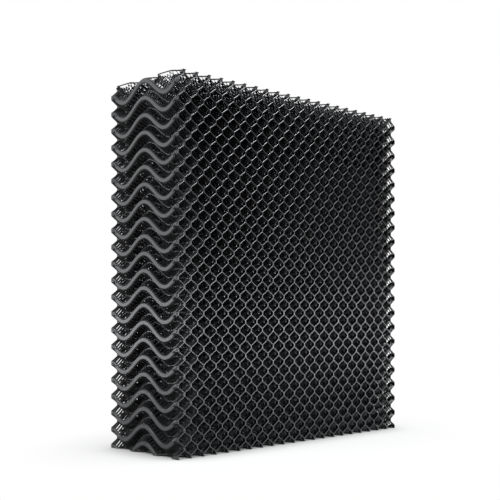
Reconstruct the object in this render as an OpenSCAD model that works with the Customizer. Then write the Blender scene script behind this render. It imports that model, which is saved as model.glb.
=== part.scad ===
// Evaporative cooling pad of moulded plastic net sheets.
// Folded sheets stand side by side along X and clip together where their flat strips meet.
// Each pair of folds closes a row of six-sided flutes, which run through the pad along Y in a wave.
// Inner sheets are drawn as plain folded walls with level flutes, for the nets between their strips.
// The two end sheets are drawn as their folded rims and the wavy strips that show on the end faces.
// Front is -Y, up is +Z, and the origin is at the middle of the bottom.

/* [Pad] */
// Number of folded sheets, side by side along X
sheet_count = 42; // [4:1:58]
// Length of the pad, along X
pad_length = 462; // [40:1:640]
// Thickness of the pad, the way the air goes, along Y
pad_thickness = 150; // [100:1:300]
// Height of the pad, along Z
pad_height = 511; // [120:1:800]

/* [Flutes] */
// Height from one strip to the next strip above it on the same side of a sheet
flute_pitch = 23.5; // [18:0.5:36]
// Height of the flat strips where two sheets meet
strip_height = 4.25; // [2.5:0.05:7]
// Thickness of the flat strips
strip_wall = 0.8; // [0.5:0.1:1.6]
// Thickness of the sloping rims at the two faces
rim_wall = 1; // [0.6:0.1:1.8]
// Depth of the level rims behind each face
rim_depth = 7; // [3:0.5:12]
// Height of the middle of the lowest strip at the faces
first_strip = 2.5; // [0:0.5:10]
// Space between the strips of two sheets
sheet_gap = 0.2; // [0.05:0.05:0.5]

/* [Wave] */
// Length of one whole wave along Y
wave_length = 91; // [60:1:160]
// Height of the wave from trough to crest
wave_rise = 23; // [0:0.5:40]
// Straight runs in one wave of a strip
wave_runs = 12; // [4:4:32]

/* [Hidden] */
fold = pad_length / sheet_count;
half_gap = sheet_gap / 2;
row_rise = flute_pitch / 2;
rows = ceil((pad_height + wave_rise) / flute_pitch);
slope_run = fold - sheet_gap - strip_wall;
slope_angle = atan((row_rise - strip_height) / slope_run);
// Height that the mitre adds to the outer side of a strip and takes from its inner side
mitre = (rim_wall - strip_wall * sin(slope_angle)) / (2 * cos(slope_angle));
half_strip = strip_height / 2;
wave_room = pad_thickness - 2 * rim_depth;
half_wave = wave_length / 2;
// An odd number of half waves fits between the rims, so that the strips are level at the faces
wave_count = max(1, 2 * floor((wave_room / half_wave + 1.05) / 2) - 1);
wave_end = wave_count * half_wave / 2;
pad_colour = "#2b2b2d";

function two_digits(i) = i < 10 ? str("0", i) : str(i);

// Height of a strip above its level at the faces, y from the middle of the pad
crest_sign = wave_count % 4 == 1 ? -1 : 1;
function wave(y) = crest_sign * wave_rise / 2 * cos(360 * y / wave_length);

// Folded section of one sheet in X and Z, cut off level at the bottom and the top
module fold_section() {
    x_in = half_gap + strip_wall;
    x_out = fold - half_gap;
    levels = [for (j = [-1 : rows]) first_strip + j * flute_pitch];
    near_side = [for (z = levels) each [
        [half_gap, z - half_strip - mitre],
        [half_gap, z + half_strip + mitre],
        [x_out - strip_wall, z + row_rise - half_strip + mitre],
        [x_out - strip_wall, z + row_rise + half_strip - mitre]]];
    far_side = [for (z = levels) each [
        [x_in, z - half_strip + mitre],
        [x_in, z + half_strip - mitre],
        [x_out, z + row_rise - half_strip - mitre],
        [x_out, z + row_rise + half_strip + mitre]]];
    way_back = [for (i = [len(far_side) - 1 : -1 : 0]) far_side[i]];
    intersection() {
        polygon(concat(near_side, way_back));
        translate([-fold, 0]) square([3 * fold, pad_height]);
    }
}

// Folded wall of a given depth along Y, up to y_back
module folds(y_back, depth) {
    translate([0, y_back, 0]) rotate([90, 0, 0]) linear_extrude(depth) fold_section();
}

// One wavy strip from face to face, at height z there
module strip(x, z) {
    n = round(wave_runs * wave_count / 2);
    bends = [for (i = [0 : n]) -wave_end + 2 * wave_end * i / n];
    face = pad_thickness / 2;
    tall = half_strip + mitre;
    top = [for (y = bends) [y, z + wave(y) + tall]];
    bottom = [for (i = [n : -1 : 0]) [bends[i], z + wave(bends[i]) - tall]];
    front_end = [[-face, z - tall], [-face, z + tall]];
    back_end = [[face, z + tall], [face, z - tall]];
    translate([x, 0, 0]) rotate([90, 0, 90]) linear_extrude(strip_wall)
        polygon(concat(front_end, top, back_end, bottom));
}

// Whole strips of one side of a sheet, those that the bottom and the top don't cut
module strips(x, first) {
    reach = wave_rise / 2 + half_strip + mitre;
    for (j = [0 : rows])
        let (z = first_strip + first + j * flute_pitch)
            if (z - reach > 0 && z + reach < pad_height) strip(x, z);
}

// One sheet: every second one is turned end for end, so that strips meet strips
module net_sheet(i) {
    turned = i % 2;
    last = sheet_count - 1;
    face = pad_thickness / 2;
    color(pad_colour) translate([i * fold - pad_length / 2, 0, 0]) union() {
        translate([turned * fold, 0, 0]) mirror([turned, 0, 0])
            if (i == 0 || i == last) {
                folds(rim_depth - face, rim_depth);
                folds(face, rim_depth);
            } else folds(face, pad_thickness);
        if (i == 0) strips(half_gap, 0);
        if (i == last) strips(fold - half_gap - strip_wall, (1 - turned) * row_rise);
    }
}

for (i = [0 : sheet_count - 1])
    net_sheet(i);
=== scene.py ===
import math

import bmesh
import bpy
import numpy as np
from mathutils import Euler, Matrix, Vector


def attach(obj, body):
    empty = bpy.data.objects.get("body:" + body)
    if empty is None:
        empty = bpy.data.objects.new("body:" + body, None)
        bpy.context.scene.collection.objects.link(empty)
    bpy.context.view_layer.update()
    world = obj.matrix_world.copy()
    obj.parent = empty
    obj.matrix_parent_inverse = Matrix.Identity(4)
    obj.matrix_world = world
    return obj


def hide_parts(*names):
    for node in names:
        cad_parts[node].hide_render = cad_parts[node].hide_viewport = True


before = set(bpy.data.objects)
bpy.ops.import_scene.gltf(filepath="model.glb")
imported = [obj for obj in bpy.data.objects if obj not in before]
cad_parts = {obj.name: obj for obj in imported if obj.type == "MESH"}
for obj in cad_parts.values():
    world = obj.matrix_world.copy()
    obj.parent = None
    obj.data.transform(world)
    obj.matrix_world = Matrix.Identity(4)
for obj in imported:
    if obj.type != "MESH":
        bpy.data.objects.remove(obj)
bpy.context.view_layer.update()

# Net sheets: folded nets of black polypropylene, each injection moulded in one shot.
# Flat wavy strips on both sides carry the sheet, and open nets slope from strip to strip between them.
# Every second sheet is turned end for end, so that strips meet strips and clip together.

# All sizes are in millimetres, and face is the way from the middle of the pad to its front or back
mm = 0.001
sheet_count = 42
fold = 11.0
pad_length = sheet_count * fold
pad_height = 511.0
face = 75.0
pitch = 23.5
first_strip = 2.5
half_gap = 0.02
strip_wall = 0.8
# The rows start below the bottom and end above the top, because the wave brings parts of them back
strip_rows = np.arange(-2, 24)

# The wave is a cosine that levels off behind the faces, rounded over 5 mm where it does
wave_rise = 23.0
wave_length = 91.0
wave_end = 0.75 * wave_length
wave_samples = 1601
round_samples = 51
fine_y = np.linspace(-face - 5, face + 5, wave_samples)
cosine = wave_rise / 2 * np.cos(2 * np.pi * fine_y / wave_length)
sharp_z = np.where(np.abs(fine_y) < wave_end, cosine, 0.0)
round_off = np.ones(round_samples) / round_samples
fine_z = np.convolve(np.pad(sharp_z, round_samples // 2, mode="edge"), round_off, mode="valid")


def wave(y):
    return np.interp(y, fine_y, fine_z)


def widen(y):
    # Strips keep their width square to the wave, so they are taller where it climbs
    return np.sqrt(1 + np.interp(y, fine_y, np.gradient(fine_z, fine_y)) ** 2)


def tubes(rings):
    # The rings go by tube, station, corner and xyz, and the first and the last ring close a tube
    count, stations, corners, _ = rings.shape
    index = np.arange(count * stations * corners).reshape(count, stations, corners)
    turn = np.roll(index, -1, axis=2)
    sides = np.stack([index[:, :-1], turn[:, :-1], turn[:, 1:], index[:, 1:]], axis=-1).reshape(-1, 4)
    ends = np.concatenate([index[:, 0, ::-1], index[:, -1]]).reshape(-1, corners)
    return rings.reshape(-1, 3), sides.tolist() + ends.tolist()


# Strips inside the pad are whole at the two faces and narrower between them
half_strip = 2.45
strip_slant = 0.7
face_run = 3.0
face_share = 1.15
inner_share = 0.42
front_ends = [-face, face_run - face]
back_ends = [face - face_run, face]
plain_ys = np.concatenate([front_ends, np.linspace(-wave_end, wave_end, 11), back_ends])
plain_share = np.where(np.abs(plain_ys) > wave_end, face_share, inner_share)
plain_section = ((0.0, -half_strip), (0.0, half_strip),
                 (strip_wall, half_strip - strip_slant), (strip_wall, strip_slant - half_strip))

# Strips on the end faces have lips turned inwards along both edges, and a round notch near both faces
notch_from_face = 7.6
notch_radius = 1.8
notch_stretch = 1.5
notch_ys = notch_from_face - face + np.array([-1.8, -1.65, -1.2, -0.6, 0.0, 0.6, 1.2, 1.65, 1.8])
end_wave = wave_end - 4.5
end_ys = np.concatenate([front_ends, notch_ys, np.linspace(-end_wave, end_wave, 41), -notch_ys, back_ends])
end_ys.sort()
from_notch = np.abs(np.abs(end_ys) - (face - notch_from_face))
end_notch = notch_stretch * np.sqrt(np.clip(notch_radius ** 2 - from_notch ** 2, 0, None))
end_section = ((0.0, -2.25), (0.0, 2.1), (0.3, 2.5), (1.6, 3.45), (2.1, 2.75), (0.85, 1.8),
               (0.85, -1.8), (2.1, -2.75), (1.6, -3.45), (0.25, -2.5))


def strips(levels, x, inwards, at_end):
    # A section gives the corners of a strip from its outer side at x inwards, and up from its middle
    section = end_section if at_end else plain_section
    ys = end_ys if at_end else plain_ys
    share = 1.0 if at_end else plain_share
    notch = end_notch if at_end else 0.0
    if at_end:
        levels = levels[levels < pad_height]
    rings = np.zeros((len(levels), len(ys), len(section), 3))
    for corner, (depth, up) in enumerate(section):
        lift = notch if up < 0 else 0.0
        rings[:, :, corner, 0] = x + inwards * depth
        rings[:, :, corner, 1] = ys
        rings[:, :, corner, 2] = levels[:, None] + wave(ys) + up * share * widen(ys) + lift
    return tubes(rings)


# Strands and rims run between the strips of the two sides and are sunk a little way into them
sunk = 0.2
x_near = half_gap + strip_wall - sunk
x_far = fold - half_gap - strip_wall + sunk


def roots(levels, x, ys):
    grid = np.zeros((len(levels), len(ys), 3))
    grid[:, :, 0] = x
    grid[:, :, 1] = ys
    grid[:, :, 2] = levels[:, None] + wave(ys)
    return grid.reshape(-1, 3)


def square_to_wall(side):
    # The walls of a fold climb about 3 for every 4 that they run
    return np.array([-0.6 * side, 0.0, 0.8])


def bars(a, b, side, corners, radius):
    # Bars from points a to points b on a sloping wall, with one radius for all or one for each
    along = b - a
    along /= np.linalg.norm(along, axis=1)[:, None]
    across = np.cross(along, square_to_wall(side))
    across /= np.linalg.norm(across, axis=1)[:, None]
    up = np.cross(across, along)
    radii = np.broadcast_to(radius, len(a))[:, None]
    rings = np.zeros((len(a), 2, corners, 3))
    for station, end in enumerate((a, b)):
        for corner in range(corners):
            angle = 2 * math.pi * corner / corners
            rings[:, station, corner] = end + radii * (math.cos(angle) * up + math.sin(angle) * across)
    return tubes(rings)


# Strands cross in pairs, closer near the bottom, the top and the ends of the pad, where light gets in
net_reach = 61.0
open_ys = np.linspace(-net_reach, net_reach, 13)
close_ys = np.linspace(-net_reach, net_reach, 25)
near_end_ys = np.concatenate([open_ys[:7], close_ys[13:]])
close_below = 30.0
close_above = pad_height - 70.0
plain_root = 0.7
end_root = 2.0
plain_strand = 0.9
end_strand = 0.4
stout = 1.4
stout_behind = 25.0
stout_before = -5.0
# Rungs cross straight over behind each face, stouter where the sheets are seen against the light
front_rungs = np.array([-71.0, -67.4, -63.8])
back_rungs = np.array([71.0, 67.4, 63.8, 60.2, 56.6])
thin_rung = 0.5
right_rung = 1.2
back_rung = 1.45


def nets(left, side, left_end, right_end, near_end, near_right):
    at_end = left_end or right_end
    corners = 4 if at_end else 3
    strand = end_strand if at_end else plain_strand
    near_z = left + side * (end_root if left_end else plain_root)
    far_z = left + side * (pitch / 2 - (end_root if right_end else plain_root))
    cross_ys = near_end_ys if near_end else open_ys
    if at_end or near_right:
        cross_ys = close_ys
    parts = []
    low_or_high = (left < close_below) | (left > close_above)
    for rows, ys, radius in ((~low_or_high, cross_ys, strand), (low_or_high, close_ys, stout * strand)):
        a_ys = np.concatenate([ys[:-1], ys[1:]])
        b_ys = np.concatenate([ys[1:], ys[:-1]])
        thicker = (near_end & (a_ys > stout_behind)) | (near_right & (a_ys < stout_before))
        radii = np.tile(radius * np.where(thicker, stout, 1.0), rows.sum())
        a = roots(near_z[rows], x_near, a_ys)
        b = roots(far_z[rows], x_far, b_ys)
        parts.append(bars(a, b, side, corners, radii))
    front = front_rungs if near_end else front_rungs[2:]
    back = back_rungs if near_end else back_rungs[2:3]
    front_radius = right_rung if near_right else thin_rung
    back_radius = back_rung if near_end else thin_rung
    for ys, radius in ((front, front_radius), (back, back_radius)):
        parts.append(bars(roots(near_z, x_near, ys), roots(far_z, x_far, ys), side, corners, radius))
    return parts


# Rims edge the sloping walls at the two faces, flat in front with their corners taken off
rim_root = 2.5
rim_wall = 1.3
rim_depth = 1.5
rim_bevel = 0.35 * rim_wall / 2
rim_section = ((-1.0, rim_bevel), (-0.6, 0.0), (0.6, 0.0), (1.0, rim_bevel),
               (1.0, rim_depth), (-1.0, rim_depth))
rim_ys = np.array([-face, face])


def rims(left, side):
    a = roots(left + side * rim_root, x_near, rim_ys)
    b = roots(left + side * (pitch / 2 - rim_root), x_far, rim_ys)
    out = square_to_wall(side) * rim_wall / 2
    behind = np.zeros_like(a)
    behind[:, 1] = -np.sign(a[:, 1])
    rings = np.zeros((len(a), 2, len(rim_section), 3))
    for station, end in enumerate((a, b)):
        for corner, (share, depth) in enumerate(rim_section):
            rings[:, station, corner] = end + share * out + depth * behind
    return tubes(rings)


# A catch stands on the inner side of each right-hand strip, a little way behind both faces
catch_y = 68.4
catch_foot = 1.9
catch_tip = 1.2
catch_rise = 1.7
catch_sides = 6


def catches(right):
    ys = np.repeat([-catch_y, catch_y], len(right))
    zs = np.tile(right, 2) + wave(catch_y)
    rings = np.zeros((len(ys), 2, catch_sides, 3))
    x_tip = fold - half_gap - strip_wall - catch_rise
    for station, (x, radius) in enumerate(((x_far, catch_foot), (x_tip, catch_tip))):
        for corner in range(catch_sides):
            angle = 2 * math.pi * (corner + 0.5) / catch_sides
            rings[:, station, corner, 0] = x
            rings[:, station, corner, 1] = ys + radius * math.cos(angle)
            rings[:, station, corner, 2] = zs + radius * math.sin(angle)
    return tubes(rings)


# A thin edge closes the net where it ends level at the bottom and the top
edge_ys = np.linspace(-face, face, 51)
edge_radius = 0.9
edge_spread = 1.2
edge_inset = 0.6
edge_level = 2.1
edge_turns = [0.0, edge_level, pitch / 2 - edge_level, pitch / 2 + edge_level, pitch - edge_level, pitch]
edge_xs = [edge_inset, edge_inset, fold - edge_inset, fold - edge_inset, edge_inset, edge_inset]


def level_edge(left, height):
    # The edge follows the fold, which crosses from side to side as the wave lifts and lowers it
    x = np.interp((height - wave(edge_ys) - left[0]) % pitch, edge_turns, edge_xs)
    rings = np.zeros((1, len(edge_ys), 4, 3))
    for corner, (over, up) in enumerate(((1, 0), (0, 1), (-1, 0), (0, -1))):
        rings[0, :, corner, 0] = np.clip(x + edge_spread * edge_radius * over, half_gap, fold - half_gap)
        rings[0, :, corner, 1] = edge_ys
        rings[0, :, corner, 2] = height + edge_radius * up
    return tubes(rings)


def sheet_mesh(name, turned, left_end, right_end, near_end, near_right):
    left = first_strip + turned * pitch / 2 + strip_rows * pitch
    right = first_strip + (1 - turned) * pitch / 2 + strip_rows * pitch
    parts = [strips(left, half_gap, 1, left_end), strips(right, fold - half_gap, -1, right_end)]
    for side in (1, -1):
        parts += nets(left, side, left_end, right_end, near_end, near_right)
        parts.append(rims(left, side))
    parts.append(catches(right))
    for height in (edge_radius, pad_height - edge_radius):
        parts.append(level_edge(left, height))
    points = np.concatenate([verts for verts, _ in parts])
    faces = []
    start = 0
    for verts, polys in parts:
        faces.extend([[i + start for i in poly] for poly in polys])
        start += len(verts)
    mesh = bpy.data.meshes.new(name)
    mesh.from_pydata((points * mm).tolist(), [], faces)
    bm = bmesh.new()
    bm.from_mesh(mesh)
    # The sheet is moulded to a straight edge at the bottom and the top
    for height, outward in ((0.0, -1), (pad_height * mm, 1)):
        cut = bmesh.ops.bisect_plane(bm, geom=bm.verts[:] + bm.edges[:] + bm.faces[:], dist=1e-7,
                                     plane_co=(0, 0, height), plane_no=(0, 0, outward), clear_outer=True)
        edges = [e for e in cut["geom_cut"] if isinstance(e, bmesh.types.BMEdge)]
        bmesh.ops.holes_fill(bm, edges=edges, sides=0)
    bmesh.ops.recalc_face_normals(bm, faces=bm.faces[:])
    bm.to_mesh(mesh)
    bm.free()
    mesh.polygons.foreach_set("use_smooth", [True] * len(mesh.polygons))
    mesh.set_sharp_from_angle(angle=math.radians(35))
    return mesh


def linear(hex_colour):
    parts = [int(hex_colour[i:i + 2], 16) / 255 for i in (1, 3, 5)]
    return [c / 12.92 if c <= 0.04045 else ((c + 0.055) / 1.055) ** 2.4 for c in parts] + [1.0]


def add_node(tree, kind, links=None, values=None, **settings):
    made = tree.nodes.new(kind)
    for key, value in settings.items():
        setattr(made, key, value)
    for socket, value in (values or {}).items():
        made.inputs[socket].default_value = value
    for socket, source in (links or {}).items():
        tree.links.new(source, made.inputs[socket])
    return made


# Polypropylene coloured black in the melt, which leaves a satin mould face
# Faint flow marks and a slight grain, drawn coarser than the real one to show, break up its sheen
flow_size = 9.0 * mm
grain_size = 0.7 * mm
black_plastic = bpy.data.materials.new("black_moulded_polypropylene")
black_plastic.use_nodes = True
tree = black_plastic.node_tree
tree.nodes.clear()
place = add_node(tree, "ShaderNodeTexCoord").outputs["Object"]
flow = add_node(tree, "ShaderNodeTexNoise", {"Vector": place}, {"Scale": 1 / flow_size, "Detail": 3.0})
grain = add_node(tree, "ShaderNodeTexNoise", {"Vector": place}, {"Scale": 1 / grain_size, "Detail": 2.0})
tone = add_node(tree, "ShaderNodeValToRGB", {"Fac": flow.outputs["Fac"]})
tone.color_ramp.elements[0].position = 0.35
tone.color_ramp.elements[0].color = linear("#0b0c0e")
tone.color_ramp.elements[1].position = 0.7
tone.color_ramp.elements[1].color = linear("#131417")
sheen = add_node(tree, "ShaderNodeMapRange", {"Value": grain.outputs["Fac"]},
                 {"From Min": 0.3, "From Max": 0.7, "To Min": 0.27, "To Max": 0.39})
relief = add_node(tree, "ShaderNodeBump", {"Height": grain.outputs["Fac"]},
                  {"Strength": 0.12, "Distance": 0.1 * mm})
plastic = add_node(tree, "ShaderNodeBsdfPrincipled",
                   {"Base Color": tone.outputs["Color"], "Roughness": sheen.outputs["Result"],
                    "Normal": relief.outputs["Normal"]}, {"IOR": 1.49, "Specular IOR Level": 0.38})
add_node(tree, "ShaderNodeOutputMaterial", {"Surface": plastic.outputs["BSDF"]})

# Sheets of one kind share a shape: turned or not, at an end, near an end or inside the pad
near_count = 3
kinds = {}
for i in range(sheet_count):
    near_left = i < near_count
    near_right = i >= sheet_count - near_count
    kind = (i % 2, i == 0, i == sheet_count - 1, near_left or near_right, near_right)
    if kind not in kinds:
        kinds[kind] = sheet_mesh("net_sheet_kind_%d" % len(kinds), *kind)
    net = kinds[kind].copy()
    net.name = "net_%02d" % (i + 1)
    net.transform(Matrix.Translation(((i * fold - pad_length / 2) * mm, 0, 0)))
    net.materials.append(black_plastic)
    sheet = bpy.data.objects.new("moulded_net_%02d" % (i + 1), net)
    bpy.context.collection.objects.link(sheet)
    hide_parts("net_sheet_%02d" % (i + 1))
    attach(sheet, "root")
for spare in kinds.values():
    bpy.data.meshes.remove(spare)

# Clip studs: low round pegs of the same black polypropylene, moulded on the outer strips of both ends.
# One stands on each side of a notch near both faces of the pad, to grip the sheet that would follow.
stud_radius = 1.7
stud_tip = 0.78 * stud_radius
stud_rise = 0.7
stud_rounding = 0.3
stud_lift = 0.15
stud_rows = 22
stud_from_face = (3.7, 11.2)
stud_margin = 3.0
for label, way in (("left", -1), ("right", 1)):
    bm = bmesh.new()
    x = way * (pad_length / 2 - half_gap)
    near_top = (x * way + 0.9 * stud_rise) * mm
    turn = Euler((0, way * math.pi / 2, 0)).to_matrix().to_4x4()
    spots = [(end * (face - spot), first_strip + row * pitch)
             for row in range(stud_rows) for spot in stud_from_face for end in (-1, 1)]
    for y, level in spots:
        z = level + float(wave(y)) + stud_lift
        if z < stud_margin or z > pad_height - stud_margin:
            continue
        stand = Matrix.Translation(Vector((x + way * stud_rise / 2, y, z)) * mm) @ turn
        made = bmesh.ops.create_cone(bm, cap_ends=True, segments=12, radius1=stud_radius * mm,
                                     radius2=stud_tip * mm, depth=stud_rise * mm, matrix=stand)
        top = [e for v in made["verts"] for e in v.link_edges
               if all(w.co.x * way > near_top for w in e.verts)]
        bmesh.ops.bevel(bm, geom=list(dict.fromkeys(top)), offset=stud_rounding * mm, offset_type="OFFSET",
                        segments=2, profile=0.5, affect="EDGES", material=-1)
    mesh = bpy.data.meshes.new("clip_studs_" + label)
    bm.to_mesh(mesh)
    bm.free()
    mesh.polygons.foreach_set("use_smooth", [True] * len(mesh.polygons))
    mesh.set_sharp_from_angle(angle=math.radians(50))
    mesh.materials.append(black_plastic)
    studs = bpy.data.objects.new("clip_studs_" + label, mesh)
    bpy.context.collection.objects.link(studs)
    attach(studs, "root")

# Studio floor: a wide sheet in a pale matt paint, which the pad stands on.
# It is seen near white with the soft shade of the pad on it, partly real and partly painted, and bounces
# light back as a mid grey.


def plainly_seen(tree):
    # One for what the camera sees straight, mirrored or through something clear, and zero for stray light
    ray = add_node(tree, "ShaderNodeLightPath").outputs
    mirrored = add_node(tree, "ShaderNodeMath", {0: ray["Is Glossy Ray"], 1: ray["Is Transmission Ray"]},
                        operation="MAXIMUM")
    return add_node(tree, "ShaderNodeMath", {0: ray["Is Camera Ray"], 1: mirrored.outputs[0]},
                    operation="MAXIMUM").outputs[0]


floor_paint = bpy.data.materials.new("pale_studio_floor")
floor_paint.use_nodes = True
tree = floor_paint.node_tree
tree.nodes.clear()
matte = add_node(tree, "ShaderNodeBsdfDiffuse", values={"Color": linear("#8c8c8c")})
# Painted shade: ambient occlusion dims the floor's glow under and near the pad, on top of the real shadow
# that its matte layer takes
painted_shade_reach = 80.0 * mm
clear = add_node(tree, "ShaderNodeAmbientOcclusion", values={"Distance": painted_shade_reach}, samples=8)
glow_with_painted_shade = add_node(tree, "ShaderNodeMapRange", {"Value": clear.outputs["AO"]},
                {"From Min": 0.1, "From Max": 0.9, "To Min": 0.04, "To Max": 0.83})
lift = add_node(tree, "ShaderNodeEmission", {"Strength": glow_with_painted_shade.outputs["Result"]},
                {"Color": linear("#ffffff")})
shade = add_node(tree, "ShaderNodeBsdfDiffuse", values={"Color": linear("#4a4a4a")})
lit = add_node(tree, "ShaderNodeAddShader", {0: lift.outputs[0], 1: shade.outputs[0]})
# Further from the pad than its shadow reaches, the floor fades into the white background
fade_start = 240.0 * mm
fade_end = 420.0 * mm
spread = add_node(tree, "ShaderNodeTexCoord").outputs["Object"]
oval = add_node(tree, "ShaderNodeMapping", {"Vector": spread}, {"Scale": (1.0, 1.5, 1.0)}).outputs["Vector"]
away = add_node(tree, "ShaderNodeVectorMath", {0: oval}, operation="LENGTH").outputs["Value"]
fade = add_node(tree, "ShaderNodeMapRange", {"Value": away},
                {"From Min": fade_start, "From Max": fade_end}, interpolation_type="SMOOTHSTEP")
blank = add_node(tree, "ShaderNodeEmission", values={"Color": linear("#ffffff"), "Strength": 1.0})
faded = add_node(tree, "ShaderNodeMixShader",
                 {"Fac": fade.outputs["Result"], 1: lit.outputs[0], 2: blank.outputs[0]})
both = add_node(tree, "ShaderNodeMixShader",
                {"Fac": plainly_seen(tree), 1: matte.outputs[0], 2: faded.outputs[0]})
add_node(tree, "ShaderNodeOutputMaterial", {"Surface": both.outputs[0]})
floor_reach = 9.0
bm = bmesh.new()
bmesh.ops.create_grid(bm, x_segments=1, y_segments=1, size=floor_reach)
floor_mesh = bpy.data.meshes.new("floor")
bm.to_mesh(floor_mesh)
bm.free()
floor_mesh.materials.append(floor_paint)
floor = bpy.data.objects.new("floor", floor_mesh)
bpy.context.collection.objects.link(floor)

# Background and lamps: a white room that is seen and mirrored but gives almost no light of its own.
# Softboxes low on both sides draw the strips and the rims, and those above light the tops of the nets.
# A small lamp in front of the pad picks out the catches in the flutes.
world = bpy.data.worlds.new("white_studio")
bpy.context.scene.world = world
world.use_nodes = True
tree = world.node_tree
tree.nodes.clear()
soft = add_node(tree, "ShaderNodeBackground", values={"Color": linear("#f2f4f6"), "Strength": 0.02})
white = add_node(tree, "ShaderNodeBackground", values={"Color": linear("#ffffff"), "Strength": 1.0})
mixed = add_node(tree, "ShaderNodeMixShader",
                 {"Fac": plainly_seen(tree), 1: soft.outputs[0], 2: white.outputs[0]})
add_node(tree, "ShaderNodeOutputWorld", {"Surface": mixed.outputs[0]})
# Place, width and height in metres, and power in watts, all turned to the middle of the pad
pad_middle = Vector((0, 0, 0.25))
lamps = (("left_softbox", (-1.38, 1.51, 0.55), 0.8, 1.0, 6.2),
         ("top_softbox", (0.3, -0.4, 1.8), 1.0, 0.35, 66.0),
         ("right_softbox", (1.4, -1.6, 0.1), 1.8, 0.18, 34.0),
         ("low_softbox", (-1.1, 1.2, 0.1), 0.9, 0.16, 3.6),
         ("side_softbox", (-2.0, 0.6, 1.3), 0.6, 0.6, 70.0),
         ("front_lamp", (0.1, -2.1, 0.3), 0.25, 0.25, 20.0))
for name, spot, wide, tall, power in lamps:
    lamp = bpy.data.lights.new(name, "AREA")
    lamp.shape = "RECTANGLE"
    lamp.size = wide
    lamp.size_y = tall
    lamp.energy = power
    lamp.color = (0.95, 0.975, 1.0)
    lamp_object = bpy.data.objects.new(name, lamp)
    lamp_object.location = spot
    lamp_object.rotation_euler = (pad_middle - Vector(spot)).to_track_quat("-Z", "Y").to_euler()
    bpy.context.collection.objects.link(lamp_object)

# Camera: level, about 1.4 m from the pad, off its front left corner.
# The lens is shifted, so that upright edges stay upright and the horizon lies below the middle.
camera = bpy.data.cameras.new("camera")
camera.sensor_width = 36.0
camera.lens = 64.9
camera.shift_y = 0.118
camera_object = bpy.data.objects.new("camera", camera)
camera_object.location = (-0.9767, -0.9838, 0.1968)
camera_object.rotation_euler = (math.pi / 2, 0, -math.radians(43.916))
bpy.context.collection.objects.link(camera_object)
bpy.context.scene.camera = camera_object
bpy.context.scene.view_settings.view_transform = "Standard"
